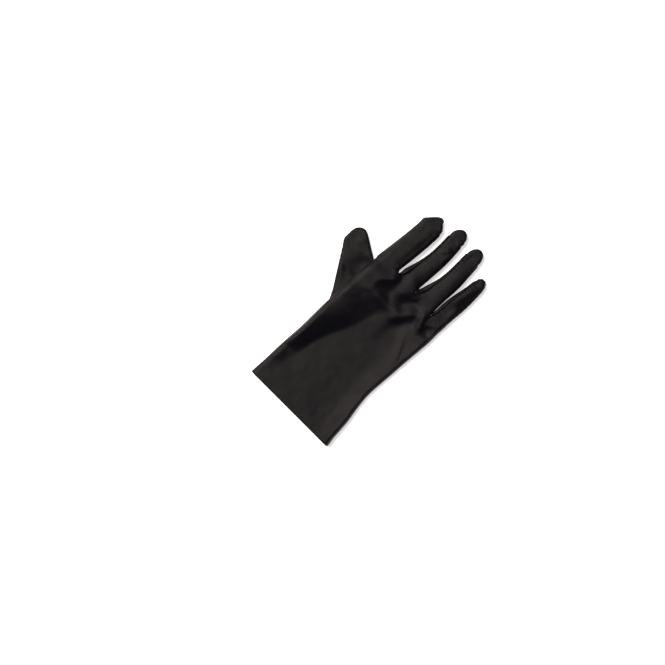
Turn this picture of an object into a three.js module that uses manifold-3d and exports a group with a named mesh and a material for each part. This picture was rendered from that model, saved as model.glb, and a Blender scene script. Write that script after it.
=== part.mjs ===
import * as THREE from "three";
import { mergeVertices } from "three/addons/utils/BufferGeometryUtils.js";
import Module from "manifold-3d";

// Right-hand stretch dress glove, lying on its palm with the back up.
// Hand frame, in millimetres: x runs from the index side to the little finger's side, y from the middle of
// the cuff to the fingertips, z up from the surface that the glove lies on.

// Cloth and seams
const WALL = 1.0;
const SEAM_GAP = 0.3;
const SHARPEST_CORNER = 0.4;
const HEM_DEPTH = 9.5;
const HEM_WALL = 2 * WALL;
const HEM_STEP = 1.0;

// Rounding of the edges, as the distance in plan over which the cloth turns down to the outline
const BACK_ROUND = 7.0;
const PALM_ROUND = 3.0;
const EDGE_SHARE = 0.42;

// Spacing of the rows of facets, wide over the palm and close over the knuckle folds
const PALM_STEP = 5.6;
const KNUCKLE_STEP = 3.6;
const KNUCKLE_START = 122;
const FINGER_STEP = 6.0;
const THUMB_STEP = 12.0;

// How far the back rises where the palm is lifted over the thumb, as a share of that lift
const BACK_LIFT = 0.7;
const LIFT_MARGIN = 3.0;
const LIFT_FALL = 16.0;
const LIFT_FALL_TO_CUFF = 46.0;

// Columns of facets across each finger's back, and facets down each side between its seams
const BACK_COLUMNS = 5;
const SIDE_FACETS = 3;

// How far in from the outline the seams lie, and the side's point on the back's rounding as a share of that
const BACK_SEAM = 3.0;
const PALM_SEAM = 1.6;
const PALM_SEAM_SHARE = 0.2;
const SIDE_POINT = 0.25;

// The point between the back's seam and the outline at a crotch, as shares of the way out and of the way down
const CROTCH_OUT = 0.6;
const CROTCH_DOWN = 0.45;

const table = (columns, rows) => {
  const names = columns.split(" ");
  return rows.map((row) => Object.fromEntries(names.map((name, k) => [name, row[k]])));
};

// The hand from the cuff to the knuckles: both edges of the outline, and the height of the back
const HAND = table("y left right crown", [
  [0, -49.0, 48.5, 10.4],
  [8, -48.6, 47.5, 10.0],
  [18, -48.0, 47.0, 9.6],
  [30, -47.7, 46.5, 9.2],
  [45, -47.0, 44.1, 9.0],
  [60, -46.0, 42.6, 8.8],
  [75, -45.7, 42.8, 8.8],
  [90, -45.5, 44.0, 8.8],
  [105, -45.0, 45.1, 9.0],
  [120, -44.6, 46.5, 9.2],
  [135, -43.8, 48.0, 9.4],
  [147, -42.8, 48.0, 9.4],
  [155, -41.5, 48.5, 9.4],
]);

// The crotches between the fingers: where the seam ends on the back, where the gap ends, and where the line
// that leads down from each reaches the cuff
const CROTCHES = table("backX backY gapX gapY palmX palmY cuffX", [
  [-15.5, 156.8, -16.5, 158.9, -16.0, 157.4, -21.4],
  [8.6, 155.6, 7.3, 162.0, 8.0, 158.0, 4.6],
  [33.0, 152.2, 31.9, 157.5, 32.6, 154.0, 31.7],
]);

// Each finger from the knuckles to the tip, in sections that run across it: the two ends of the section in
// plan, its height, and how far in from each end the seam of the gusset lies on the back
const FINGER_COLUMNS = "leftX leftY rightX rightY crown leftSeam rightSeam";

const INDEX = {
  name: "index",
  palmColumns: 4,
  tip: { x: -23.6, y: 224.5, z: 3.2 },
  tipSections: 4,
  sections: table(FINGER_COLUMNS, [
    [-41.0, 159.0, -19.3, 162.0, 9.6, 3.0, 2.2],
    [-40.2, 165.0, -18.5, 166.0, 9.8, 3.0, 1.6],
    [-39.0, 175.0, -17.5, 175.5, 10.0, 3.0, 1.3],
    [-37.5, 187.0, -16.3, 187.0, 10.0, 3.0, 1.2],
    [-36.2, 199.0, -15.3, 199.0, 9.8, 3.0, 1.0],
    [-35.5, 208.0, -15.0, 207.5, 9.2, 2.6, 0.5],
    [-35.4, 213.8, -15.2, 213.2, 8.4, 2.2, 1.6],
    [-32.5, 216.9, -16.4, 217.2, 7.6, 1.8, 1.6],
    [-29.5, 219.9, -18.7, 220.9, 6.4, 1.4, 1.4],
    [-26.7, 222.8, -20.8, 223.4, 5.0, 0.8, 0.8],
  ]),
};

const MIDDLE = {
  name: "middle",
  palmColumns: 4,
  tip: { x: -0.2, y: 231.0, z: 3.2 },
  tipSections: 4,
  sections: table(FINGER_COLUMNS, [
    [-14.2, 161.6, 6.4, 165.2, 9.4, 4.0, 2.0],
    [-15.3, 166.0, 6.5, 169.0, 9.4, 5.6, 1.6],
    [-13.2, 173.5, 6.8, 175.5, 9.6, 4.3, 1.3],
    [-10.6, 182.5, 7.4, 184.0, 9.6, 2.4, 1.2],
    [-8.6, 192.5, 8.0, 193.5, 9.4, 1.3, 1.2],
    [-7.8, 203.0, 8.0, 203.5, 9.2, 1.1, 1.0],
    [-7.8, 213.0, 7.4, 213.0, 9.0, 0.9, 0.8],
    [-7.9, 219.5, 6.7, 219.2, 8.6, 0.4, 0.4],
    [-7.5, 224.7, 6.3, 223.6, 8.0, 1.4, 1.4],
    [-5.8, 228.0, 5.1, 227.2, 6.8, 1.2, 1.2],
    [-3.2, 230.2, 3.0, 229.7, 5.4, 0.8, 0.8],
  ]),
};

const RING = {
  name: "ring",
  palmColumns: 3,
  tip: { x: 23.0, y: 228.7, z: 3.2 },
  tipSections: 4,
  sections: table(FINGER_COLUMNS, [
    [8.9, 164.5, 31.2, 161.5, 9.2, 4.8, 2.0],
    [10.0, 168.6, 31.1, 167.5, 9.2, 4.6, 1.6],
    [12.0, 175.6, 31.2, 175.0, 9.4, 3.3, 1.3],
    [14.3, 184.3, 31.8, 184.0, 9.4, 1.9, 1.2],
    [15.4, 194.0, 32.0, 193.5, 9.2, 1.3, 1.2],
    [15.7, 203.0, 31.4, 202.5, 9.0, 1.1, 1.0],
    [15.6, 212.0, 30.8, 211.5, 8.8, 0.9, 0.8],
    [15.8, 218.5, 30.1, 217.5, 8.4, 0.4, 0.4],
    [16.6, 223.6, 29.3, 222.6, 7.8, 1.4, 1.4],
    [18.4, 226.7, 27.9, 226.0, 6.6, 1.2, 1.2],
    [20.4, 228.2, 25.8, 227.9, 5.2, 0.8, 0.8],
  ]),
};

const LITTLE = {
  name: "little",
  palmColumns: 2,
  tip: { x: 44.6, y: 211.4, z: 3.0 },
  tipSections: 3,
  sections: table(FINGER_COLUMNS, [
    [32.6, 161.5, 48.8, 161.0, 9.0, 3.2, 3.0],
    [32.8, 168.0, 49.4, 168.0, 8.8, 3.6, 3.0],
    [33.7, 175.8, 50.0, 175.0, 8.8, 3.0, 3.0],
    [35.6, 185.5, 50.5, 184.5, 8.6, 2.0, 3.0],
    [37.4, 194.0, 50.5, 193.0, 8.4, 1.3, 2.8],
    [38.5, 200.8, 50.2, 200.0, 8.0, 0.4, 2.4],
    [39.2, 205.9, 49.7, 205.0, 7.4, 1.4, 1.8],
    [40.1, 209.3, 48.6, 208.4, 6.4, 1.2, 1.2],
    [42.4, 210.9, 46.7, 210.6, 5.2, 0.8, 0.8],
  ]),
};

const FINGERS = [INDEX, MIDDLE, RING, LITTLE];
const GUSSETS = ["gusset_index_middle", "gusset_middle_ring", "gusset_ring_little"];

// The thumb, in its own frame: y runs along it to the tip. It is folded flat under the palm.
const THUMB_AT = { x: -26, y: 112, turn: Math.PI / 4 };
const THUMB_HEIGHT = 7.0;
const THUMB_ROUND = 3.0;
const THUMB_ROUND_SHARE = 0.25;
const THUMB_COLUMNS = 5;
const THUMB_FACE_EDGE = 0.8;
const THUMB_SIDE_POINT = 0.15;
const THUMB_BASE_END = { x: -12.4, y: -14.0 };
const THUMB_TIP = { x: 2.6, y: 70.1 };
const THUMB = table("leftX leftY rightX rightY height", [
  [-16.8, -13.0, -7.6, -12.8, 4.8],
  [-20.4, -10.0, -2.6, -9.4, 6.5],
  [-22.6, -5.6, 3.2, -4.2, 7.0],
  [-22.9, 0.4, 8.8, 1.6, 7.0],
  [-21.6, 6.4, 13.6, 8.0, 7.0],
  [-19.6, 12.4, 16.8, 14.4, 7.0],
  [-17.9, 19.2, 18.0, 21.2, 7.0],
  [-16.2, 27.0, 18.0, 28.8, 7.0],
  [-14.4, 34.8, 17.6, 36.0, 7.0],
  [-12.6, 42.6, 16.6, 43.0, 7.0],
  [-10.4, 51.8, 14.7, 50.8, 7.0],
  [-8.6, 60.4, 12.5, 60.0, 6.8],
  [-5.6, 63.6, 10.9, 65.2, 6.4],
  [-2.4, 66.5, 8.9, 68.4, 5.4],
  [0.4, 68.7, 5.6, 70.0, 4.2],
]);

// The oval hole in the palm, round which the thumb is sewn
const THUMB_HOLE = { x: -32, y: 113.5, across: 8.6, along: 15.5, turn: -0.1, sides: 28 };
const HOLE_BOTTOM = 3.3;
const HOLE_TOP = 11.0;

// Folds in the back: the middle of each, the way it runs (degrees from x), half its length and width, and
// its rise, which is negative where it is a dent
const FOLDS = table("x y turn length width rise", [
  [-43.5, 84, 91, 66, 5.0, 1.2],
  [-38.0, 96, 76, 48, 15.0, 1.2],
  [-4.0, 104, 72, 34, 10.0, -0.7],
  [36.0, 66, 90, 62, 5.5, 1.2],
  [-25.0, 153, 0, 14, 3.0, 0.9],
  [-15.0, 145, 50, 12, 4.5, -1.5],
  [5.0, 149, 38, 13, 3.6, -1.6],
  [11.5, 141, 50, 16, 3.4, 1.4],
  [18.5, 136, 50, 13, 3.6, -1.6],
  [28.0, 141, -50, 14, 3.0, 1.5],
  [34.5, 141, -50, 9, 3.6, -1.5],
  [42.0, 143, -35, 8, 2.8, 1.1],
  [33.0, 108, -64, 14, 3.5, -0.6],
  [3.5, 206, 60, 7, 3.0, -1.0],
  [-2.5, 216, 90, 6, 2.6, -0.7],
  [-22.0, 184, 88, 20, 3.2, -0.8],
  [20.0, 217, 90, 7, 2.4, -0.6],
  [44.0, 186, 84, 12, 3.0, -0.6],
]);

// How far the palm's seam is drawn up off the surface at a crotch, and the valley that runs into the back
const CROTCH_RISE = 0.4;
const VALLEY_DEPTH = 1.9;
const VALLEY_WIDTH = 4.0;
const VALLEY_LENGTH = 9.0;

const CLOTH = { color: "#211e1d", roughness: 0.62, metalness: 0 };

// Curves and surfaces

const mix = (a, b, t) => a + (b - a) * t;

const ease = (t) => {
  const held = Math.min(1, Math.max(0, t));
  return held * held * (3 - 2 * held);
};

// A quarter of a circle: 0 at the outline, 1 from one rounding in
const roundOff = (distance, radius) => {
  const left = 1 - Math.min(1, Math.max(0, distance / radius));
  return Math.sqrt(Math.max(0, 1 - left * left));
};

// A smooth curve through four rows of a table, at t between the middle two
const smoothBetween = (before, from, to, after, t) => {
  const row = {};
  for (const name of Object.keys(from)) {
    const [a, b, c, d] = [before[name], from[name], to[name], after[name]];
    const first = (c - a) / 2;
    const second = (d - b) / 2;
    const rise = c - b;
    row[name] = b + t * (first + t * (3 * rise - 2 * first - second + t * (first + second - 2 * rise)));
  }
  return row;
};

const rowsCloserThan = (step, sections) => {
  const rows = [sections[0]];
  for (let k = 1; k < sections.length; k++) {
    const from = sections[k - 1];
    const to = sections[k];
    const length = Math.max(
      Math.hypot(to.leftX - from.leftX, to.leftY - from.leftY),
      Math.hypot(to.rightX - from.rightX, to.rightY - from.rightY),
    );
    const parts = Math.ceil(length / step);
    const before = sections[Math.max(0, k - 2)];
    const after = sections[Math.min(sections.length - 1, k + 1)];
    for (let part = 1; part <= parts; part++) {
      rows.push(part === parts ? to : smoothBetween(before, from, to, after, part / parts));
    }
  }
  return rows;
};

const handAt = (y) => {
  let k = 1;
  while (k < HAND.length - 1 && HAND[k].y < y) k++;
  const t = (y - HAND[k - 1].y) / (HAND[k].y - HAND[k - 1].y);
  const before = HAND[Math.max(0, k - 2)];
  const after = HAND[Math.min(HAND.length - 1, k + 1)];
  return smoothBetween(before, HAND[k - 1], HAND[k], after, t);
};

// The thumb's outline in the hand frame, and how far the palm is lifted over it
const thumbToHand = (x, y) => new THREE.Vector2(x, y)
  .rotateAround(new THREE.Vector2(), THUMB_AT.turn)
  .add(new THREE.Vector2(THUMB_AT.x, THUMB_AT.y));

const THUMB_OUTLINE = [
  thumbToHand(THUMB_BASE_END.x, THUMB_BASE_END.y),
  ...THUMB.map((row) => thumbToHand(row.rightX, row.rightY)),
  thumbToHand(THUMB_TIP.x, THUMB_TIP.y),
  ...THUMB.map((row) => thumbToHand(row.leftX, row.leftY)).reverse(),
];

// The palm's lift over the thumb. It falls off at once beside the thumb, and slowly towards the cuff.
const lift = (x, y) => {
  let nearest = Infinity;
  let towardsCuff = 0;
  let inside = false;
  THUMB_OUTLINE.forEach((to, k) => {
    const from = THUMB_OUTLINE.at(k - 1);
    const runX = to.x - from.x;
    const runY = to.y - from.y;
    const share = ((x - from.x) * runX + (y - from.y) * runY) / (runX * runX + runY * runY);
    const held = Math.min(1, Math.max(0, share));
    const awayY = y - (from.y + held * runY);
    const distance = Math.hypot(x - (from.x + held * runX), awayY);
    if (distance < nearest) {
      nearest = distance;
      towardsCuff = Math.max(0, -awayY / distance);
    }
    if (from.y > y !== to.y > y && x < from.x + (runX * (y - from.y)) / runY) inside = !inside;
  });
  const full = THUMB_HEIGHT + SEAM_GAP;
  if (inside) return full;
  const fall = mix(LIFT_FALL, LIFT_FALL_TO_CUFF, towardsCuff ** 3);
  return full * ease(1 - (nearest - LIFT_MARGIN) / fall);
};

const foldRise = (x, y) => FOLDS.reduce((sum, fold) => {
  const turn = THREE.MathUtils.degToRad(fold.turn);
  const along = ((x - fold.x) * Math.cos(turn) + (y - fold.y) * Math.sin(turn)) / fold.length;
  const across = ((y - fold.y) * Math.cos(turn) - (x - fold.x) * Math.sin(turn)) / fold.width;
  return sum + fold.rise * Math.exp(-(along ** 4) - across ** 2);
}, 0);

const crotchValley = (x, y) => CROTCHES.reduce((sum, crotch) => {
  const across = (x - crotch.backX) / VALLEY_WIDTH;
  const along = (y - crotch.backY) / VALLEY_LENGTH;
  return sum + (y > crotch.gapY ? 0 : VALLEY_DEPTH * Math.exp(-across * across - along * along));
}, 0);

const edgeHeight = (x, y, crown) => {
  const floor = lift(x, y);
  return mix(floor, crown + BACK_LIFT * floor, EDGE_SHARE);
};

// Height of the back and of the palm, at a distance in from the left and the right end of a section
const backHeight = (x, y, crown, fromLeft, fromRight) => {
  const edge = edgeHeight(x, y, crown);
  const turned = roundOff(fromLeft, BACK_ROUND) * roundOff(fromRight, BACK_ROUND);
  const top = crown + BACK_LIFT * lift(x, y) + foldRise(x, y) - crotchValley(x, y);
  return mix(edge, top, turned);
};

const palmHeight = (x, y, crown, fromLeft, fromRight) => {
  const edge = edgeHeight(x, y, crown);
  const turned = roundOff(fromLeft, PALM_ROUND) * roundOff(fromRight, PALM_ROUND);
  return mix(edge, lift(x, y), turned);
};

// The skin: points, and facets that each carry the name of the cloth piece that they belong to
const skin = { points: [], facets: [] };

const point = (x, y, z) => skin.points.push(new THREE.Vector3(x, y, z)) - 1;

const facet = (piece, corners) => skin.facets.push({ piece, corners });

const spread = (from, to, columns) =>
  Array.from({ length: columns + 1 }, (_, k) => mix(from, to, k / columns));

// A section is a closed loop of points: across the back, down the right side, across the palm and up the left
// side. Each side has a point on the back's rounding, one on the outline and one at the palm's seam.
const loopOf = (section) => [
  ...section.back,
  ...section.right,
  ...section.palm.toReversed(),
  ...section.left.toReversed(),
];

const joinLoops = (from, to, pieces) => {
  for (let k = 0; k < from.length; k++) {
    const next = (k + 1) % from.length;
    facet(pieces[k], [from[k], from[next], to[next], to[k]]);
  }
};

const closeLoop = (loop, end, pieces) => {
  for (let k = 0; k < loop.length; k++) {
    facet(pieces[k], [loop[k], loop[(k + 1) % loop.length], end]);
  }
};

const repeat = (piece, count) => Array(count).fill(piece);

// Names of the pieces along a loop. A side's facets run from the back's seam over the outline to the palm's.
const FOLD_SIDE = ["hand_back", "hand_back", "hand_back"];
const SEAM_SIDE = ["hand_back", "hand_back", "hand_palm"];

const piecesOf = (backColumns, rightSide, palmColumns, leftSide) => [
  ...repeat("hand_back", backColumns),
  ...rightSide,
  ...repeat("hand_palm", palmColumns),
  ...leftSide.toReversed(),
];

// One row of the hand, with the columns of all four fingers side by side
const KNUCKLE_Y = HAND.at(-1).y;
const KNUCKLE_BEND = [
  { x: HAND.at(-1).left, y: KNUCKLE_Y },
  ...CROTCHES.map((crotch) => ({ x: crotch.backX, y: crotch.backY })),
  { x: HAND.at(-1).right, y: KNUCKLE_Y },
];

const handRow = (y) => {
  const at = handAt(y);
  const share = y / KNUCKLE_Y;
  const bend = share * share;
  const stops = [
    at.left,
    ...CROTCHES.map((crotch) => mix(crotch.cuffX, crotch.backX, share)),
    at.right,
  ];
  const rowY = KNUCKLE_BEND.map((stop) => mix(y, y + stop.y - KNUCKLE_Y, bend));
  const onBack = (x, yHere) => point(x, yHere, backHeight(x, yHere, at.crown, x - at.left, at.right - x));
  const onPalm = (x, yHere) => point(x, yHere, palmHeight(x, yHere, at.crown, x - at.left, at.right - x));
  const onEdge = (x) => point(x, y, edgeHeight(x, y, at.crown));
  const acrossFingers = (place, inset, columnsOf) => FINGERS.flatMap((finger, f) => {
    const first = f === 0 ? stops[f] + inset : stops[f];
    const last = f === FINGERS.length - 1 ? stops[f + 1] - inset : stops[f + 1];
    const columns = columnsOf(finger);
    const xs = spread(first, last, columns);
    const ys = spread(rowY[f], rowY[f + 1], columns);
    return xs.map((x, k) => [x, ys[k]]).slice(f === 0 ? 0 : 1).map(([x, yHere]) => place(x, yHere));
  });
  return {
    back: acrossFingers(onBack, BACK_SEAM, () => BACK_COLUMNS),
    palm: acrossFingers(onPalm, PALM_SEAM, (finger) => finger.palmColumns),
    left: [onBack(at.left + BACK_SEAM * SIDE_POINT, y), onEdge(at.left)],
    right: [onBack(at.right - BACK_SEAM * SIDE_POINT, y), onEdge(at.right)],
  };
};

// One section of a finger
const fingerSection = (finger, row) => {
  const width = Math.hypot(row.rightX - row.leftX, row.rightY - row.leftY);
  const along = (distance) => [
    mix(row.leftX, row.rightX, distance / width),
    mix(row.leftY, row.rightY, distance / width),
  ];
  const onBack = (distance) => {
    const [x, y] = along(distance);
    return point(x, y, backHeight(x, y, row.crown, distance, width - distance));
  };
  const onPalm = (distance) => {
    const [x, y] = along(distance);
    return point(x, y, palmHeight(x, y, row.crown, distance, width - distance));
  };
  const onEdge = (distance) => {
    const [x, y] = along(distance);
    return point(x, y, edgeHeight(x, y, row.crown));
  };
  const seam = Math.min(PALM_SEAM, width * PALM_SEAM_SHARE);
  return {
    back: spread(row.leftSeam, width - row.rightSeam, BACK_COLUMNS).map(onBack),
    palm: spread(seam, width - seam, finger.palmColumns).map(onPalm),
    left: [onBack(row.leftSeam * SIDE_POINT), onEdge(0)],
    right: [onBack(width - row.rightSeam * SIDE_POINT), onEdge(width)],
  };
};

// The line of points down a crotch, from the back's seam to the palm's
const crotchLine = (crotch, back, palm) => {
  const start = skin.points[back];
  const end = skin.points[palm];
  const middleZ = mix(start.z, end.z, 0.5);
  const between = point(
    mix(start.x, crotch.gapX, CROTCH_OUT),
    mix(start.y, crotch.gapY, CROTCH_OUT),
    mix(start.z, middleZ, CROTCH_DOWN),
  );
  return [between, point(crotch.gapX, crotch.gapY, middleZ)];
};

const buildHand = () => {
  const rowLevels = [0, HEM_DEPTH / 2, HEM_DEPTH, HEM_DEPTH + HEM_STEP];
  const spreadTo = (end, step) => {
    const start = rowLevels.at(-1);
    rowLevels.push(...spread(start, end, Math.round((end - start) / step)).slice(1));
  };
  spreadTo(KNUCKLE_START, PALM_STEP);
  spreadTo(KNUCKLE_Y, KNUCKLE_STEP);
  const rows = rowLevels.map(handRow);
  const knuckles = rows.at(-1);
  const palmColumns = FINGERS.reduce((sum, finger) => sum + finger.palmColumns, 0);
  const handPieces = piecesOf(BACK_COLUMNS * FINGERS.length, SEAM_SIDE, palmColumns, FOLD_SIDE);

  // The palm's row ends at the crotches' own points
  let column = 0;
  const palmStops = FINGERS.map((finger) => (column += finger.palmColumns));
  CROTCHES.forEach((crotch, c) => {
    const palm = skin.points[knuckles.palm[palmStops[c]]];
    palm.x = crotch.palmX;
    palm.y = crotch.palmY;
    palm.z = Math.max(palm.z, CROTCH_RISE);
  });
  for (let r = 1; r < rows.length; r++) joinLoops(loopOf(rows[r - 1]), loopOf(rows[r]), handPieces);

  const lines = CROTCHES.map((crotch, c) =>
    crotchLine(crotch, knuckles.back[BACK_COLUMNS * (c + 1)], knuckles.palm[palmStops[c]]));

  FINGERS.forEach((finger, f) => {
    const base = {
      back: knuckles.back.slice(BACK_COLUMNS * f, BACK_COLUMNS * (f + 1) + 1),
      palm: knuckles.palm.slice(palmStops[f] - finger.palmColumns, palmStops[f] + 1),
      left: f === 0 ? knuckles.left : lines[f - 1],
      right: f === FINGERS.length - 1 ? knuckles.right : lines[f],
    };
    const leftSide = f === 0 ? FOLD_SIDE : repeat(GUSSETS[f - 1], SIDE_FACETS);
    const rightSide = f === FINGERS.length - 1 ? SEAM_SIDE : repeat(GUSSETS[f], SIDE_FACETS);
    const fingerPieces = piecesOf(BACK_COLUMNS, rightSide, finger.palmColumns, leftSide);
    const tipPieces = piecesOf(BACK_COLUMNS, SEAM_SIDE, finger.palmColumns, SEAM_SIDE);
    const lastWithGusset = finger.sections.at(-finger.tipSections);
    let pieces = fingerPieces;
    let from = loopOf(base);
    for (const row of rowsCloserThan(FINGER_STEP, finger.sections)) {
      const to = loopOf(fingerSection(finger, row));
      joinLoops(from, to, pieces);
      from = to;
      if (row === lastWithGusset) pieces = tipPieces;
    }
    closeLoop(from, point(finger.tip.x, finger.tip.y, finger.tip.z), tipPieces);
  });
};

// The thumb is a flat bag of the same cloth
const buildThumb = () => {
  const sectionOf = (row) => {
    const width = Math.hypot(row.rightX - row.leftX, row.rightY - row.leftY);
    const radius = Math.min(THUMB_ROUND, width * THUMB_ROUND_SHARE);
    const face = radius * THUMB_FACE_EDGE;
    const side = radius * THUMB_SIDE_POINT;
    const half = row.height / 2;
    const at = (distance, way) => {
      const x = mix(row.leftX, row.rightX, distance / width);
      const y = mix(row.leftY, row.rightY, distance / width);
      const turned = roundOff(distance, radius) * roundOff(width - distance, radius);
      return point(x, y, THUMB_HEIGHT / 2 + way * half * turned);
    };
    const across = spread(face, width - face, THUMB_COLUMNS);
    return {
      back: across.map((distance) => at(distance, 1)),
      palm: across.map((distance) => at(distance, -1)),
      left: [at(side, 1), at(side, -1)],
      right: [at(width - side, 1), at(width - side, -1)],
    };
  };
  const loops = rowsCloserThan(THUMB_STEP, THUMB).map((row) => loopOf(sectionOf(row)));
  const pieces = repeat("thumb", loops[0].length);
  const middle = THUMB_HEIGHT / 2;
  closeLoop(loops[0].toReversed(), point(THUMB_BASE_END.x, THUMB_BASE_END.y, middle), pieces);
  for (let k = 1; k < loops.length; k++) joinLoops(loops[k - 1], loops[k], pieces);
  closeLoop(loops.at(-1), point(THUMB_TIP.x, THUMB_TIP.y, middle), pieces);
};

buildHand();
buildThumb();

// Which way is out at each point of the skin
const outward = skin.points.map(() => new THREE.Vector3());
const trianglesOf = ({ corners: [a, b, c, d] }) => (d === undefined ? [[a, b, c]] : [[a, b, c], [a, c, d]]);

for (const shape of skin.facets) {
  for (const [a, b, c] of trianglesOf(shape)) {
    const toB = skin.points[b].clone().sub(skin.points[a]);
    const toC = skin.points[c].clone().sub(skin.points[a]);
    const normal = toB.cross(toC);
    for (const corner of [a, b, c]) outward[corner].add(normal);
  }
}
outward.forEach((normal) => normal.normalize());

const wallAt = (piece, y) => (piece !== "thumb" && y < HEM_DEPTH + HEM_STEP / 2 ? HEM_WALL : WALL);

// A cloth piece as a solid: its facets, the same facets one wall further in, and a rim along its free edges,
// which are drawn back from the seams by half the gap
const clothSolid = (piece) => {
  const facets = skin.facets.filter((shape) => shape.piece === piece);
  const edges = new Map();
  for (const { corners } of facets) {
    corners.forEach((from, k) => {
      const to = corners[(k + 1) % corners.length];
      if (edges.has(`${to} ${from}`)) edges.delete(`${to} ${from}`);
      else edges.set(`${from} ${to}`, [from, to]);
    });
  }
  const rim = [...edges.values()];
  const before = new Map(rim.map(([from, to]) => [to, from]));
  const after = new Map(rim);

  // The way from a point of the rim into the piece, square to both edges that meet there
  const drawn = (at) => {
    const [last, here, next] = [before.get(at), at, after.get(at)].map((k) => skin.points[k]);
    const [arriving, leaving] = [[last, here], [here, next]].map(([from, to]) =>
      outward[at].clone().cross(to.clone().sub(from)).normalize());
    const way = arriving.clone().add(leaving).normalize();
    return way.multiplyScalar(SEAM_GAP / 2 / Math.max(SHARPEST_CORNER, way.dot(arriving)));
  };

  const numbers = new Map();
  const outer = [];
  const inner = [];
  const numberOf = (at) => {
    if (!numbers.has(at)) {
      const place = skin.points[at].clone();
      if (after.has(at)) place.add(drawn(at));
      numbers.set(at, outer.push(place) - 1);
      inner.push(place.clone().addScaledVector(outward[at], -wallAt(piece, place.y)));
    }
    return numbers.get(at);
  };
  const triangles = facets.flatMap(trianglesOf).map((corners) => corners.map(numberOf));
  const faces = triangles.slice();
  const shift = outer.length;
  for (const [a, b, c] of triangles) faces.push([a + shift, c + shift, b + shift]);
  // Two pieces split the rim between them along the same diagonal, so that neither reaches into the other
  for (const [from, to] of rim) {
    const [a, b] = [numberOf(from), numberOf(to)];
    if (from < to) faces.push([a, a + shift, b + shift], [a, b + shift, b]);
    else faces.push([a, a + shift, b], [a + shift, b + shift, b]);
  }
  const geometry = new THREE.BufferGeometry();
  geometry.setFromPoints([...outer, ...inner]);
  geometry.setIndex(faces.flat());
  return geometry;
};

// Cutting the thumb's hole through the palm and through the thumb's upper wall
const wasm = await Module();
wasm.setup();

const toSolid = (geometry) => {
  const bare = new THREE.BufferGeometry();
  bare.setAttribute("position", geometry.getAttribute("position"));
  bare.setIndex(geometry.getIndex());
  const merged = mergeVertices(bare);
  return new wasm.Manifold(new wasm.Mesh({
    numProp: 3,
    vertProperties: merged.getAttribute("position").array,
    triVerts: new Uint32Array(merged.getIndex().array),
  }));
};

const toGeometry = (solid) => {
  const mesh = solid.getMesh();
  const geometry = new THREE.BufferGeometry();
  geometry.setAttribute("position", new THREE.BufferAttribute(mesh.vertProperties, 3));
  geometry.setIndex(new THREE.BufferAttribute(mesh.triVerts, 1));
  return geometry;
};

const holeCutter = () => {
  const height = HOLE_TOP - HOLE_BOTTOM;
  const cutter = new THREE.CylinderGeometry(1, 1, height, THUMB_HOLE.sides);
  cutter.rotateX(Math.PI / 2);
  cutter.scale(THUMB_HOLE.across, THUMB_HOLE.along, 1);
  cutter.rotateZ(THUMB_HOLE.turn);
  cutter.translate(THUMB_HOLE.x, THUMB_HOLE.y, HOLE_BOTTOM + height / 2);
  return cutter;
};

const withThumbHole = (geometry, cutter) => toGeometry(toSolid(geometry).subtract(toSolid(cutter)));

// The assembly
const glove = new THREE.Group();
const hand = new THREE.Group();
const boxCentre = { x: -12.04, y: 115.45 };
hand.position.set(-boxCentre.x, -boxCentre.y, 0);
glove.add(hand);

const addPiece = (name, geometry) => {
  geometry.computeVertexNormals();
  const mesh = new THREE.Mesh(geometry, new THREE.MeshStandardMaterial(CLOTH));
  mesh.name = name;
  hand.add(mesh);
  return mesh;
};

addPiece("hand_back", clothSolid("hand_back"));
addPiece("hand_palm", withThumbHole(clothSolid("hand_palm"), holeCutter()));
for (const name of GUSSETS) addPiece(name, clothSolid(name));

// The thumb is turned into its own frame, and placed by its mesh
const intoThumbFrame = (geometry) => geometry
  .translate(-THUMB_AT.x, -THUMB_AT.y, 0)
  .rotateZ(-THUMB_AT.turn);
const thumb = addPiece("thumb", withThumbHole(clothSolid("thumb"), intoThumbFrame(holeCutter())));
thumb.position.set(THUMB_AT.x, THUMB_AT.y, 0);
thumb.rotation.z = THUMB_AT.turn;

export default glove;
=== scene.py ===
import math

import bmesh
import bpy
import numpy as np
from mathutils import Matrix, Vector, kdtree


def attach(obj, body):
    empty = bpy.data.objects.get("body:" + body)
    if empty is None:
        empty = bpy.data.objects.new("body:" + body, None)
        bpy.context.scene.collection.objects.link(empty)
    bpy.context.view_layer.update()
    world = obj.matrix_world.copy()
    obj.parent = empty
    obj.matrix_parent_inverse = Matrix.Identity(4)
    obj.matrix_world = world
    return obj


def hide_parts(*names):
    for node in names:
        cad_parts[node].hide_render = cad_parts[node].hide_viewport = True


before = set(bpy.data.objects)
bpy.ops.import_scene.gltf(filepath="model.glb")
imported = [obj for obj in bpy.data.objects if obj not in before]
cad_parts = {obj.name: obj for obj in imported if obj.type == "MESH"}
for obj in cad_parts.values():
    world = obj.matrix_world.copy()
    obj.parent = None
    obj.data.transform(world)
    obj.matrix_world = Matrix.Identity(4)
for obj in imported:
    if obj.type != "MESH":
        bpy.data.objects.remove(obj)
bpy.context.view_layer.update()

# The glove lies on its palm with its back up. Plan positions and heights below are in millimetres in the hand's own
# frame: x from the index side to the little finger's side, y from the cuff to the fingertips, z up from the surface.
MM = 0.001
HAND_AT = (12.04, -115.45)
TINY = 1e-9

# The sewn pieces, with each gusset's size and area as cut from the flat cloth, in metres
SHELL = "hand_shell"
THUMB_CLOTH = "thumb_cloth"
GUSSET_CUTS = {
    "gusset_index_middle_cloth": {"flat": (0.010, 0.116), "area": 0.00105},
    "gusset_middle_ring_cloth": {"flat": (0.010, 0.116), "area": 0.00100},
    "gusset_ring_little_cloth": {"flat": (0.010, 0.100), "area": 0.00095},
}
GUSSETS = list(GUSSET_CUTS)
PIECES = [SHELL, *GUSSETS, THUMB_CLOTH]

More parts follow.
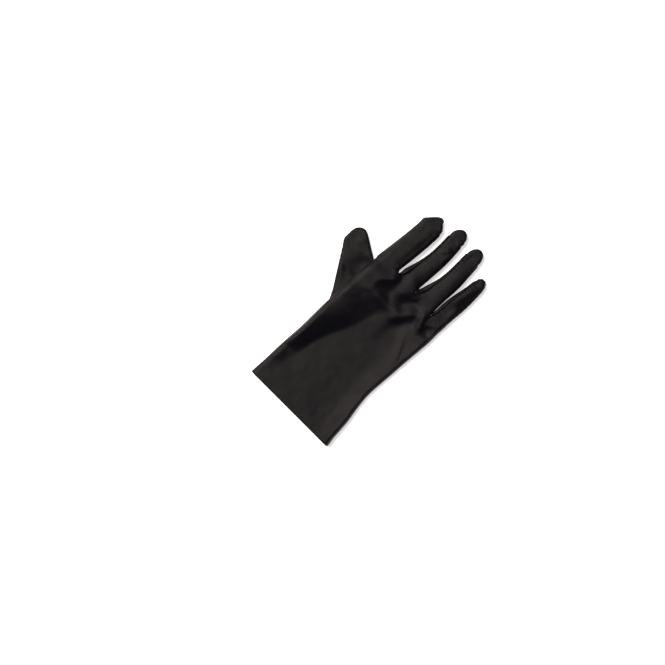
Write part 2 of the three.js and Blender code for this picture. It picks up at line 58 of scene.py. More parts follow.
# The cloth, its hem and its seams. At a seam two pieces meet, or it closes one piece and is all but shut.
CLOTH_THICK = 0.7
HEM_DEPTH = 9.5
HEM_INNER = 1.55
HEM_BULGE = 0.45
CLOSED, MEETING = 1, 2
SEAM_GAP = {CLOSED: 0.04, MEETING: 0.3}
SEAM_SINK = 0.55

# Rounding of the edges in plan, at the hand's folded side, its sewn side, the fingers and the palm, and the share of
# the height that the outline lies at, along the fold and elsewhere
FOLD_ROUND = 3.2
HAND_ROUND = 1.8
FINGER_ROUND = 2.4
KNUCKLES_FROM = 148.0
KNUCKLES_TO = 170.0
PALM_ROUND = 3.0
EDGE_SHARE = 0.6
FOLD_SHARE = 0.56
FOLD_REACH = -30

# Spacing of the rows, columns across each finger's back, its palm side and the two halves of its sides, and how far in
# from the outline the seams lie. A gusset narrows to a share of its width over its last sections.
HEM_STEP = 1.9
ROW_STEP = 2.1
BACK_COLUMNS = 12
PALM_COLUMNS = 8
SIDE_COLUMNS = 3
TIP_ROWS = 3
CROTCH_ROWS = 3
BACK_SEAM = 3.0
PALM_SEAM = 1.6
PALM_SEAM_PARTS = 5
GUSSET_END_SHARE = 0.3
GUSSET_END_SECTIONS = 2

# The palm's lift over the folded thumb, and how much of it shows in the back
BACK_LIFT = 0.7
LIFT_MARGIN = 1.5
LIFT_FALL = 12.0
LIFT_FALL_TO_CUFF = 26.0
CLOTHS_APART = 2.2

# How the sewn skin settles: how fast its back is held to its form, and how fast the back's edges and the palm are, how
# far in the edges reach, how often the moves are smoothed, how much of each is kept, and the most that it may be
SETTLE_SCALE = 0.01
SETTLE_FRAMES = 24
SETTLE_PIN = 0.3
SETTLE_FIRM_PIN = 0.8
SETTLE_EDGE = 7.0
SETTLE_CROWN = 9.0
SETTLE_PASSES = 3
SETTLE_KEPT = 0.25
SETTLE_MOST = 1.3
SETTLE_MOST_BELOW = 0.3
MORE_CLOTH = 0.01
CLOTH_SETTINGS = {
    "quality": 6, "mass": 0.15, "tension_stiffness": 12, "compression_stiffness": 12, "shear_stiffness": 4,
    "bending_stiffness": 0.3, "air_damping": 3, "vertex_group_mass": "pins", "pin_stiffness": 1.0,
    "shrink_min": -MORE_CLOTH, "shrink_max": -MORE_CLOTH, "use_pressure": True}

# Puckers along the seams: height, spacing, how far from the seam they are highest, how much the spacing sways and over
# what length, the length of a higher patch, and the share of the height that they all have
PUCKER_HEIGHT = 0.26
PUCKER_PITCH = 4.2
PUCKER_REACH = 0.9
PUCKER_SWAY = 1.1
PUCKER_SWAY_PITCH = 3.7
PUCKER_PATCH = 9.0
PUCKER_EVEN = 0.6

# The knit: its colours and gloss, the sizes of its patterns and the depths of their relief
CLOTH_DARK = "#05050a"
CLOTH_LIGHT = "#07060b"
SEAM_DARK = "#040404"
SEAM_DARK_WIDTH = 0.9
SEAM_DARK_SHARE = 0.5
ROUGHNESS = (0.42, 0.48)
SPECULAR = 0.12
CLOUD_SIZE = 26.0
CLOUD_RANGE = (0.3, 0.7)
WAVE_SIZE = 15.0
FIBRE_SIZE = 1.3
RIB_PITCH = 0.68
RIB_SWAY = 0.05
RIB_SWAY_PITCH = 0.42
STITCH_PITCH = 0.56
STITCH_SHARE = 0.4
CRINKLE_PITCH = 2.3
CRINKLE_FADE = 1.1
CRINKLE_PATCH = 6.0
CRINKLE_SHIFT = 4.0
SEAM_EDGE_AT = 2.0
SEAM_EDGE_SHARP = 5.0
HEM_ROW_SHARP = 1.6
HEM_STITCH_PITCH = 2.1
HEM_STITCH_SHARE = 0.3
DEPTHS = {"waves": 0.8, "knit": 0.035, "fibres": 0.10, "crinkles": 0.15, "seam edge": 0.10, "hem stitches": 0.05}

# The photograph's frame: the camera looks straight down, turned so that the glove points to the upper right
FRAME_WIDTH = 0.6185
LENS = 85.0
SENSOR = 36.0
LOOK_AT = (-0.0094, -0.0369, 0.005)
CAMERA_TURN = math.radians(45)

# A pale table that glows a little, so that the shadows on it stay faint, and one large softbox on the index side
FLOOR_SIZE = 6.0
FLOOR_DROP = -0.0002
FLOOR_COLOUR = "#f4f4f4"
FLOOR_GLOW_COLOUR = "#ffffff"
FLOOR_GLOW = 0.6
SKY_COLOUR = "#dde4ff"
SKY_STRENGTH = 0.11
KEY_LIGHT = {"bearing": 180, "elevation": 55, "away": 4.0, "width": 2.0, "height": 2.46, "watts": 312.0,
             "colour": "#fff1e6"}


def table(columns, rows):
    names = columns.split()
    return [dict(zip(names, row)) for row in rows]


HAND = table("y left right crown", [
    (0, -49, 49.2, 10.4),
    (8, -48.6, 48.1, 10),
    (18, -48, 47.4, 9.6),
    (30, -47.7, 46.5, 9.2),
    (45, -47, 44.1, 9),
    (60, -46, 42.6, 8.8),
    (75, -45.7, 43.3, 8.8),
    (90, -45.5, 44.5, 8.8),
    (105, -45, 45.5, 9),
    (120, -44.6, 46.8, 9.2),
    (135, -43.8, 48, 9.4),
    (147, -42.8, 48, 9.4),
    (155, -41.5, 48.5, 9.4),
])

# Where the gusset starts on the back and on the palm between two fingers, where the gap between them ends, and where
# the line that leads down from there reaches the cuff
CROTCHES = table("backX backY gapX gapY palmX palmY cuffX", [
    (-15.8, 157.4, -17.1, 161.3, -16.4, 158.2, -21.4),
    (8.4, 156.2, 7, 164, 7.8, 158.6, 4.6),
    (33, 152.2, 31.9, 157.5, 32.6, 154, 31.7),
])

# Each finger in sections across it: its two ends in plan, its height, and how far in from each end the gusset's seam
# lies on the back. Its gussets reach up to the section that "gusset_to" counts from 0.
FINGER = "leftX leftY rightX rightY crown leftSeam rightSeam"

INDEX = {"tip": (-23.6, 224.6), "gusset_to": 6, "sections": table(FINGER, [
    (-41, 159, -19, 163.6, 9.6, 3, 2.2),
    (-40.3, 165, -18.5, 167.4, 9.8, 3, 1.6),
    (-39, 175, -17.5, 175.5, 10, 3, 1.3),
    (-37.5, 187, -16.3, 187, 10, 3, 1.2),
    (-36.2, 199, -15.3, 199, 9.8, 3, 1),
    (-35.5, 208, -15, 207.5, 9.6, 2.6, 0.5),
    (-35.4, 213.8, -15.2, 213.2, 9.6, 2.2, 1.6),
    (-32.7, 216.9, -16.5, 217.2, 9.5, 1.8, 1.6),
    (-30, 220.1, -19.4, 220.3, 9.3, 1.4, 1.4),
    (-27.2, 223, -21, 223.2, 8.9, 0.8, 0.8),
])}

MIDDLE = {"tip": (-0.2, 231), "gusset_to": 7, "sections": table(FINGER, [
    (-14.8, 163.6, 6, 167, 9.4, 4, 2),
    (-14.9, 167.5, 6.4, 170, 9.4, 5.6, 1.6),
    (-13.2, 173.5, 6.8, 175.5, 9.6, 4.3, 1.3),
    (-10.6, 182.5, 7.4, 184, 9.6, 2.4, 1.2),
    (-8.6, 192.5, 8, 193.5, 9.4, 1.3, 1.2),
    (-7.8, 203, 8, 203.5, 9.2, 1.1, 1),
    (-7.8, 213, 7.4, 213, 9, 0.9, 0.8),
    (-7.9, 219.5, 6.7, 219.2, 9, 0.4, 0.4),
    (-7.5, 224.7, 6.3, 223.6, 8.9, 1.4, 1.4),
    (-5.8, 228, 5.1, 227.2, 8.8, 1.2, 1.2),
    (-3.2, 230.2, 3, 229.7, 8.5, 0.8, 0.8),
])}

RING = {"tip": (23, 228.7), "gusset_to": 7, "sections": table(FINGER, [
    (9.2, 166.5, 30.9, 161.5, 9.2, 4.8, 2),
    (10.2, 170, 30.9, 167.5, 9.2, 4.6, 1.6),
    (12, 176, 31.2, 175, 9.4, 3.3, 1.3),
    (14.3, 184.3, 31.8, 184, 9.4, 1.9, 1.2),
    (15.4, 194, 32, 193.5, 9.2, 1.3, 1.2),
    (15.7, 203, 31.4, 202.5, 9, 1.1, 1),
    (15.6, 212, 30.8, 211.5, 8.8, 0.9, 0.8),
    (15.8, 218.5, 30.1, 217.5, 8.7, 0.4, 0.4),
    (16.6, 223.6, 29.3, 222.6, 8.6, 1.4, 1.4),
    (18.4, 226.7, 27.9, 226, 8.5, 1.2, 1.2),
    (20.4, 228.2, 25.8, 227.9, 8.2, 0.8, 0.8),
])}

LITTLE = {"tip": (44.6, 211.4), "gusset_to": 6, "sections": table(FINGER, [
    (33.1, 161.5, 48.8, 161, 9, 3.2, 3),
    (33.2, 168, 49.4, 168, 8.8, 3.6, 3),
    (33.9, 175.8, 50, 175, 8.8, 3, 3),
    (35.6, 185.5, 50.5, 184.5, 8.6, 2, 3),
    (37.4, 194, 50.5, 193, 8.4, 1.3, 2.8),
    (38.5, 200.8, 50.2, 200, 8.2, 0.9, 2.4),
    (39.2, 205.9, 49.7, 205, 8, 1.4, 1.8),
    (40.1, 209.3, 48.6, 208.4, 7.9, 1.2, 1.2),
    (42.4, 210.9, 46.7, 210.6, 7.6, 0.8, 0.8),
])}

FINGERS = [INDEX, MIDDLE, RING, LITTLE]

# The cloth keeps its full length and width at the fingertips and along its edges, where a smoothed mesh draws in
TIP_LONGER = 1.7
TIP_LENGTH = 18.0
FOLD_WIDER = 0.8
SEAM_WIDER = 0.2
SIDE_WIDER = 1.3
FINGER_WIDER = {"left": -1.1, "right": 0.7}
TIP_NARROW = 9.0

# The thumb in its own frame, folded under the palm and pressed flatter than it is when full
THUMB_AT = (-26.0, 112.0)
THUMB_TURN = math.pi / 4
THUMB_HEIGHT = 5.8
THUMB_FULL = 7.0
THUMB_PRESSED = THUMB_HEIGHT / THUMB_FULL
THUMB_ROUND = 2.0
THUMB_ROUND_PARTS = 4
THUMB_COLUMNS = 14
THUMB_BASE_END = (-12.4, -14.0)
THUMB_LONGER = 1.2
THUMB_WIDER = 1.3
THUMB_TIP = (2.6, 70.1 + THUMB_LONGER)
THUMB = table("leftX leftY rightX rightY height", [
    (-16.8, -13, -7.6, -12.8, 4.8),
    (-20.4, -10, -2.6, -9.4, 6.5),
    (-22.6, -5.6, 3.2, -4.2, 7),
    (-22.9, 0.4, 8.8, 1.6, 7),
    (-21.6, 6.4, 13.6, 8, 7),
    (-19.6, 12.4, 16.8, 14.4, 7),
    (-17.9, 19.2, 18, 21.2, 7),
    (-16.2, 27, 18, 28.8, 7),
    (-14.4, 34.8, 17.6, 36, 7),
    (-12.6, 42.6, 16.6, 43, 7),
    (-10.4, 51.8, 14.7, 50.8, 7),
    (-8.6, 60.4, 12.5, 60, 6.8),
    (-5.6, 63.6, 10.9, 65.2, 6.4),
    (-2.4, 66.5, 8.9, 68.4, 5.4),
    (0.4, 68.7, 5.6, 70, 4.2),
])
for thumb_row in THUMB:
    thumb_row["leftX"] -= THUMB_WIDER
    thumb_row["rightX"] += THUMB_WIDER
    for thumb_end in ("leftY", "rightY"):
        nearness = min(1, max(0, 1 - (THUMB_TIP[1] - thumb_row[thumb_end]) / TIP_LENGTH))
        thumb_row[thumb_end] += THUMB_LONGER * nearness
THUMB_HOLE = {"x": -32.0, "y": 113.5, "across": 8.6, "along": 15.5, "turn": -0.1, "low": 4.6, "high": 6.7}

# The index side of the back is raised over the folded thumb, and slopes down to the right: at each y, where the slope
# starts and ends, how high it starts above the crown, how far below the crown the back lies beyond its foot, how wide
# the facet at the folded edge is, and how late the slope steepens
SLOPE = table("y start foot rise sink facet curve", [
    (8, -47, -34, 0, 0, 3.5, 1.5),
    (25, -47, -34, 0, 0.9, 3.5, 1.5),
    (40, -47, -31.5, 0.2, 1.5, 3, 1.5),
    (46, -47, -30.5, 3.4, 1.7, 3, 1.5),
    (51, -46.5, -29.5, 4.4, 1.8, 3, 1.5),
    (60, -45.5, -27.5, 4.8, 2, 2.8, 1.5),
    (70, -45, -24, 5.2, 2.2, 2.8, 1.5),
    (80, -44.5, -20, 5.5, 2.4, 2.8, 1.5),
    (90, -44, -15, 5.4, 2.3, 2.8, 1.8),
    (100, -43.5, -11, 5, 2.2, 3.2, 2.1),
    (110, -42, -8, 5.2, 2.1, 4, 1.7),
    (118, -41, -5.5, 6.2, 2, 5, 1.35),
    (123, -40, -4, 5.4, 1.5, 5, 1.35),
    (127, -36, -3.5, 4.6, 1.2, 5, 1.35),
    (131, -24, -2.5, 4, 0.8, 5, 1.2),
    (135, -25, -3, 4.2, 0.5, 5, 1),
    (139, -26, -9, 4.9, 0.3, 5, 1),
    (144, -25, -9.5, 5.6, 0.2, 5, 1),
    (148, -21, -9, 5.5, 0.2, 5, 1),
    (151, -17.5, -9, 4.9, 0.2, 5, 1),
    (155, -15.5, -10, 4, 0.2, 5, 1.35),
    (160, -17, -12, 3.3, 0.2, 5, 1.35),
    (168, -17, -11, 2.3, 0, 5, 1.35),
    (190, -14, -8, 0.4, 0, 5, 1.35),
    (200, -14, -8, 0, 0, 5, 1.35),
])
SLOPE_SOFT = 2.2
SLOPE_SAMPLES = 5
SLOPE_FACET = 0.38
SLOPE_FACET_FULL = 2
SLOPE_END = 1.25

# The little finger's side of the back rises gently to its edge
RIGHT_RISE = 2.2
RIGHT_WIDTH = 17.0
RIGHT_CURVE = 1.3
RIGHT_ENDS = [(0, 0.6), (20, 1.0), (120, 1.0), (136, 0.0)]

# Folds in the back: the middle of each ridge, the way it runs in degrees from x, half its length, how wide its left
# and right sides are, looking that way, and its rise, which is negative where it is a dent
FOLDS = table("x y turn length left right rise", [
    (0.4, 153.6, 53, 12, 15, 8, 2.6),
    (10.2, 146.2, 53, 11, 8.5, 10, -2.6),
    (-10, 131.5, 0, 10.5, 5, 5, 1.4),
    (13.8, 136.4, 55.5, 13.5, 9, 5.2, 2.4),
    (20, 132.1, 55.5, 13, 5.2, 8, -1.8),
    (30.2, 143.8, 113, 9.4, 4.2, 2, 2.4),
    (29.7, 152.8, 72, 4.6, 3.2, 1.9, 1.3),
    (9.4, 155.2, 75, 3.4, 2.2, 2.8, 1.2),
    (40.2, 140.3, 116, 5, 4.6, 6.3, -2),
    (15, 112, 90, 14, 7, 14, -0.9),
    (46, 143, 145, 8, 3, 3, 0.6),
    (-44, 30, 82, 7, 3, 4.5, 1.2),
    (33, 112, 116, 14, 3, 2.2, 0.7),
    (-24.7, 183, 84, 25, 10, 4.5, 0.7),
    (-20.3, 186, 84, 24, 3, 2.2, -0.5),
    (0, 183, 82, 22, 8, 5, 1),
    (-0.4, 206.1, 55, 5.5, 3.5, 2.8, 1.1),
    (5.2, 201.5, 60, 4.5, 3.5, 2.5, 0.7),
    (-5.2, 215.8, 60, 3, 2.4, 2, 0.35),
    (22, 50, 90, 44, 16, 12, -0.6),
    (24, 186, 90, 24, 6, 5.5, 0.9),
    (19.6, 216, 65, 4, 2, 2, -0.7),
    (40.4, 188, 76, 13, 5, 6, 1.9),
    (50, 183, 88, 18, 4.2, 5, -1.5),
    (2.4, 215, 86, 9, 7, 3.5, 0.5),
    (46, 203, 84, 7, 4, 4, 0.7),
    (46, 170, 80, 6, 3, 3, 0.8),
])

# Folds in the thumb's upper side, in the same way
THUMB_FOLDS = table("x y turn length left right rise", [
    (-45, 140, 97, 10, 9.5, 6, -2.2),
    (-62, 158, 50, 4, 3, 3, 0.7),
    (-60.5, 128, 124, 7, 1.3, 1.5, 0.6),
    (-57, 124, 121, 6, 1.3, 1.5, 0.6),
    (-53, 121, 118, 6, 1.3, 1.5, 0.5),
])


# Curves and surfaces

def mix(a, b, share):
    return a + (b - a) * share


def between(a, b, share):
    return tuple(mix(p, q, share) for p, q in zip(a, b))


def ease(share):
    held = np.clip(share, 0, 1)
    return held * held * (3 - 2 * held)


def round_off(distance, radius):
    """A quarter of a circle: 0 at the outline, 1 from one rounding in."""
    left = 1 - np.clip(distance / radius, 0, 1)
    return np.sqrt(np.maximum(0, 1 - left * left))


def smooth_between(rows, k, share):
    """A smooth curve through the rows of a table, a share of the way from row k to the next."""
    four = [rows[max(0, k - 1)], rows[k], rows[k + 1], rows[min(len(rows) - 1, k + 2)]]
    made = {}
    for name in rows[k]:
        a, b, c, d = (row[name] for row in four)
        first, second, rise = (c - a) / 2, (d - b) / 2, c - b
        made[name] = b + share * (first + share * (3 * rise - 2 * first - second
                                                   + share * (first + second - 2 * rise)))
    return made


def closer_rows(sections, step):
    rows = [dict(sections[0], section=0)]
    for k in range(len(sections) - 1):
        a, b = sections[k], sections[k + 1]
        length = max(math.hypot(b[side + "X"] - a[side + "X"], b[side + "Y"] - a[side + "Y"])
                     for side in ("left", "right"))
        parts = max(1, math.ceil(length / step))
        for part in range(1, parts + 1):
            rows.append(dict(smooth_between(sections, k, part / parts), section=k + part / parts))
    return rows


def hand_at(y):
    k = max(k for k in range(len(HAND) - 1) if k == 0 or HAND[k]["y"] < y)
    return smooth_between(HAND, k, (y - HAND[k]["y"]) / (HAND[k + 1]["y"] - HAND[k]["y"]))


def fill_out(finger):
    """Widens a finger and moves its last part outwards, the tip by all of the extra length."""
    tip_x, tip_y = finger["tip"]
    for row in finger["sections"]:
        for side, wider in FINGER_WIDER.items():
            from_tip = tip_y - row[side + "Y"]
            row[side + "X"] += wider * float(ease(from_tip / TIP_NARROW))
            row[side + "Y"] += TIP_LONGER * float(ease(1 - from_tip / TIP_LENGTH))
    finger["tip"] = (tip_x, tip_y + TIP_LONGER)


def spread(start, end, step):
    return np.linspace(start, end, max(2, round((end - start) / step) + 1))


HEM_LEVELS = list(spread(0, HEM_DEPTH, HEM_STEP))
HAND_LEVELS = HEM_LEVELS + list(spread(HEM_DEPTH, HAND[-1]["y"], ROW_STEP))[1:]
for long_finger in FINGERS:
    fill_out(long_finger)
FINGER_ROWS = [closer_rows(finger["sections"], ROW_STEP) for finger in FINGERS]


def polyline(points, closed=False):
    run = np.array(points, float)
    ends = np.roll(run, -1, 0) if closed else run[1:]
    starts = run if closed else run[:-1]
    return starts, ends


def distance_to(line, x, y):
    """Distance from each plan point to a line of short runs, and the way to its nearest point."""
    starts, ends = line
    run = ends - starts
    from_x = x[:, None] - starts[:, 0]
    from_y = y[:, None] - starts[:, 1]
    share = (from_x * run[:, 0] + from_y * run[:, 1]) / np.maximum(TINY, (run ** 2).sum(1))
    share = np.clip(share, 0, 1)
    away_x = from_x - share * run[:, 0]
    away_y = from_y - share * run[:, 1]
    distance = np.hypot(away_x, away_y)
    nearest = distance.argmin(1)
    each = np.arange(len(x))
    return distance[each, nearest], away_y[each, nearest]


def inside(line, x, y):
    starts, ends = line
    crosses = (starts[:, 1] > y[:, None]) != (ends[:, 1] > y[:, None])
    rise = np.where(ends[:, 1] == starts[:, 1], 1, ends[:, 1] - starts[:, 1])
    at = starts[:, 0] + (ends[:, 0] - starts[:, 0]) * (y[:, None] - starts[:, 1]) / rise
    return (crosses & (x[:, None] < at)).sum(1) % 2 == 1


def glove_outline():
    """The glove's edge in plan, from the cuff up round the fingers and back, without the cuff itself."""
    up = [(hand_at(y)["left"], y) for y in HAND_LEVELS]
    for f, finger in enumerate(FINGERS):
        rows = FINGER_ROWS[f]
        up += [(row["leftX"], row["leftY"]) for row in rows] + [finger["tip"]]
        up += [(row["rightX"], row["rightY"]) for row in reversed(rows)]
        if f < len(CROTCHES):
            up.append((CROTCHES[f]["gapX"], CROTCHES[f]["gapY"]))
    return polyline(up + [(hand_at(y)["right"], y) for y in reversed(HAND_LEVELS)])


def thumb_edge(rows):
    """The thumb's edge in its own frame, from its base up its right side and down its left."""
    return ([THUMB_BASE_END] + [(row["rightX"], row["rightY"]) for row in rows] + [THUMB_TIP]
            + [(row["leftX"], row["leftY"]) for row in reversed(rows)])


def thumb_to_hand(x, y):
    return (THUMB_AT[0] + x * math.cos(THUMB_TURN) - y * math.sin(THUMB_TURN),
            THUMB_AT[1] + x * math.sin(THUMB_TURN) + y * math.cos(THUMB_TURN))


OUTLINE = glove_outline()
THUMB_OUTLINE = polyline([thumb_to_hand(*spot) for spot in thumb_edge(THUMB)], closed=True)


def lift(x, y):
    """The palm's lift over the thumb. It falls off at once beside the thumb, and slowly towards the cuff."""
    nearest, away_y = distance_to(THUMB_OUTLINE, x, y)
    to_cuff = np.maximum(0, -away_y / np.maximum(nearest, TINY))
    fall = mix(LIFT_FALL, LIFT_FALL_TO_CUFF, to_cuff ** 3)
    full = THUMB_HEIGHT + SEAM_GAP[MEETING]
    return np.where(inside(THUMB_OUTLINE, x, y), full, full * ease(1 - (nearest - LIFT_MARGIN) / fall))


def at_level(rows, name, y):
    return np.interp(y, [row["y"] for row in rows], [row[name] for row in rows])


def slope_rise(x, y):
    """How much the index side is raised. It has a narrow facet towards the folded edge, and beyond the slope's start
    it falls to the right, steepest near the slope's foot."""
    steps = np.linspace(-SLOPE_SOFT, SLOPE_SOFT, SLOPE_SAMPLES)
    start, foot, rise, sink, facet, curve = (
        np.mean([at_level(SLOPE, name, y + step) for step in steps], axis=0)
        for name in ("start", "foot", "rise", "sink", "facet", "curve"))
    share = np.clip((x - start) / (foot - start), 0, 1)
    fold = at_level(HAND, "left", y)
    drop = SLOPE_FACET * np.maximum(0, fold + facet - x) * np.clip(rise / SLOPE_FACET_FULL, 0, 1)
    return (rise + sink) * (1 - share ** curve) ** SLOPE_END - sink - drop


def right_rise(x, y):
    reached = np.clip((x - at_level(HAND, "right", y)) / RIGHT_WIDTH + 1, 0, 1)
    return RIGHT_RISE * np.interp(y, *zip(*RIGHT_ENDS)) * reached ** RIGHT_CURVE


def fold_rise(folds, x, y):
    total = np.zeros_like(x)
    for fold in folds:
        turn = math.radians(fold["turn"])
        along = ((x - fold["x"]) * math.cos(turn) + (y - fold["y"]) * math.sin(turn)) / fold["length"]
        across = (y - fold["y"]) * math.cos(turn) - (x - fold["x"]) * math.sin(turn)
        across /= np.where(across > 0, fold["left"], fold["right"])
        total += fold["rise"] * np.exp(-along ** 4 - across ** 2)
    return total


def back_round(x, y):
    hand_round = np.where(x < 0, FOLD_ROUND, HAND_ROUND)
    return mix(hand_round, FINGER_ROUND, ease((y - KNUCKLES_FROM) / (KNUCKLES_TO - KNUCKLES_FROM)))


def edge_height(x, y, crown):
    floor = lift(x, y)
    at_fold = (x < FOLD_REACH) & (y < KNUCKLES_TO)
    return mix(floor, crown + BACK_LIFT * floor, np.where(at_fold, FOLD_SHARE, EDGE_SHARE))


def back_height(x, y, crown):
    near, _ = distance_to(OUTLINE, x, y)
    top = crown + slope_rise(x, y) + right_rise(x, y) + fold_rise(FOLDS, x, y)
    top = np.maximum(top, lift(x, y) + CLOTHS_APART)
    return mix(edge_height(x, y, crown), top, round_off(near, back_round(x, y)))


def palm_height(x, y, crown):
    near, _ = distance_to(OUTLINE, x, y)
    return mix(edge_height(x, y, crown), lift(x, y), round_off(near, PALM_ROUND))


# The skin is the outer surface of the sewn glove, in rings across it. A ring's plan holds its points on the back, down
# the right side, across the palm and up the left side, and the crown, which is the back's height there. Each point is
# a plan position, and is on the back (1), the outline (0) or the palm (-1).
PARTS = ("back", "right", "palm", "left")
skin = {"points": [], "faces": [], "seams": set()}


def skin_places(spots, crown):
    """The points of a plan raised to the skin's height."""
    x, y, side = (np.array(values, float) for values in zip(*spots))
    height = np.where(side > 0, back_height(x, y, crown),
                      np.where(side < 0, palm_height(x, y, crown), edge_height(x, y, crown)))
    return np.column_stack([x, y, height])


def add_points(places):
    first = len(skin["points"])
    skin["points"].extend(places)
    return list(range(first, first + len(places)))


def number_ring(numbers, places, middle):
    """A ring by its points' numbers, with how far each is round the ring from the middle of the back."""
    steps = np.linalg.norm(np.roll(places, -1, 0) - places, axis=1)
    around = np.concatenate([[0], np.cumsum(steps)])
    return {"numbers": numbers, "across": around - around[middle] + places[middle, 0], "along": places[:, 1]}


def add_ring(places, middle):
    return number_ring(add_points(places), places, middle)


def corner(ring, k):
    """A point of a ring, with its place in the flat cloth. The last one is the first again, once round."""
    n = k % len(ring["numbers"])
    return ring["numbers"][n], (ring["across"][k], ring["along"][n])


def join_rings(lower, upper, pieces, seams=()):
    for k, piece in enumerate(pieces):
        corners = (corner(lower, k), corner(lower, k + 1), corner(upper, k + 1), corner(upper, k))
        skin["faces"].append((piece, *zip(*corners)))
    for k in seams:
        skin["seams"].add(frozenset((lower["numbers"][k], upper["numbers"][k])))


def close_ring(ring, place, pieces, seams=(), turned=False):
    end, = add_points([np.array(place)])
    for k, piece in enumerate(pieces):
        middle = (ring["across"][k] + ring["across"][k + 1]) / 2
        corners = (corner(ring, k), corner(ring, k + 1), (end, (middle, place[1])))
        skin["faces"].append((piece, *zip(*(corners[::-1] if turned else corners))))
    for k in seams:
        skin["seams"].add(frozenset((ring["numbers"][k], end)))


def side_steps(reach, radius):
    """Distances in from the outline, from the seam on the face to the outline, evenly round the edge's curve."""
    widest = math.acos(1 - min(1, reach / radius))
    return [radius * (1 - math.cos(widest * k / SIDE_COLUMNS)) for k in range(SIDE_COLUMNS - 1, -1, -1)]


def side_plan(spot, reach, radius, palm_reach, wider):
    """A ring's points round one side, from the back to the palm. A spot is in plan, some way in from the outline."""
    on_back = [(*spot(d), 1) for d in side_steps(reach, radius)[:-1]]
    on_palm = [(*spot(d), -1) for d in reversed(side_steps(palm_reach, PALM_ROUND)[:-1])]
    return on_back + [(*spot(-wider), 0)] + on_palm


def hand_ring_plan(y):
    at = hand_at(y)
    share = y / HAND[-1]["y"]
    stops = [at["left"]] + [mix(c["cuffX"], c["backX"], share) for c in CROTCHES] + [at["right"]]
    bend = [0] + [c["backY"] - HAND[-1]["y"] for c in CROTCHES] + [0]
    levels = [y + share ** 2 * b for b in bend]

    def across(inset, columns, side):
        made = []
        for f in range(len(FINGERS)):
            first = stops[f] + (inset if f == 0 else 0)
            last = stops[f + 1] - (inset if f == len(FINGERS) - 1 else 0)
            xs = np.linspace(first, last, columns + 1)
            ys = np.linspace(levels[f], levels[f + 1], columns + 1)
            made += [(a, b, side) for a, b in zip(xs, ys)][0 if f == 0 else 1:]
        return made

    seams = (BACK_SEAM, HAND_ROUND, PALM_SEAM)
    return {"back": across(BACK_SEAM, BACK_COLUMNS, 1), "palm": across(PALM_SEAM, PALM_COLUMNS, -1),
            "left": side_plan(lambda d: (at["left"] + d, y), *seams, FOLD_WIDER),
            "right": side_plan(lambda d: (at["right"] - d, y), *seams, SIDE_WIDER), "crown": at["crown"]}


def section_line(row):
    """A section's width, and a function for the plan position at a distance from its left end."""
    left, right = (np.array([row[side + "X"], row[side + "Y"]]) for side in ("left", "right"))
    width = np.linalg.norm(right - left)
    return width, lambda distance: left + (right - left) * distance / width


def finger_plan(row, taper, left_wider):
    width, spot = section_line(row)

    def face(first, last, columns, side):
        return [(*spot(d), side) for d in np.linspace(first, width - last, columns + 1)]

    left, right = row["leftSeam"], row["rightSeam"]
    seam = min(PALM_SEAM, width / PALM_SEAM_PARTS) * taper
    return {"back": face(left, right, BACK_COLUMNS, 1), "palm": face(seam, seam, PALM_COLUMNS, -1),
            "left": side_plan(spot, left, FINGER_ROUND, seam, left_wider),
            "right": side_plan(lambda d: spot(width - d), right, FINGER_ROUND, seam, SEAM_WIDER),
            "crown": row["crown"]}


def crotch_plan(crotch):
    """From the gusset's start on the back over the end of the gap to its start on the palm."""
    back, gap, palm = ((crotch[n + "X"], crotch[n + "Y"]) for n in ("back", "gap", "palm"))
    turns = [math.pi / 2 * k / SIDE_COLUMNS for k in range(1, SIDE_COLUMNS)]
    down = [(*between(back, gap, math.sin(turn)), 1) for turn in turns]
    up = [(*between(gap, palm, 1 - math.cos(turn)), -1) for turn in turns]
    return down + [(*gap, 0)] + up


def between_plans(low, high, share):
    made = {"crown": mix(low["crown"], high["crown"], share)}
    for part in PARTS:
        made[part] = [(*between(a[:2], b[:2], share), b[2]) for a, b in zip(low[part], high[part])]
    return made


def ring_from(plan, middle):
    spots = plan["back"] + plan["right"] + plan["palm"][::-1] + plan["left"][::-1]
    return add_ring(skin_places(spots, plan["crown"]), middle)


def finger_plans(f, base_plan):
    """The plans of a finger's rings from the knuckles to its tip, with the section that each has reached."""
    finger, rows = FINGERS[f], FINGER_ROWS[f]
    left_wider = FOLD_WIDER if f == 0 else SEAM_WIDER
    first_plan = finger_plan(rows[0], 1, left_wider)
    plans = [(between_plans(base_plan, first_plan, k / (CROTCH_ROWS + 1)), 0) for k in range(1, CROTCH_ROWS + 1)]
    plans.append((first_plan, 0))
    for row in rows[1:]:
        taper = min(1, max(GUSSET_END_SHARE, (finger["gusset_to"] - row["section"]) / GUSSET_END_SECTIONS))
        plans.append((finger_plan(row, taper, left_wider), row["section"]))
    last_plan, last_section = plans[-1]
    tip = {part: [(*finger["tip"], spot[2]) for spot in last_plan[part]] for part in PARTS}
    tip["crown"] = last_plan["crown"]
    return plans + [(between_plans(last_plan, tip, k / TIP_ROWS), last_section) for k in range(1, TIP_ROWS)]


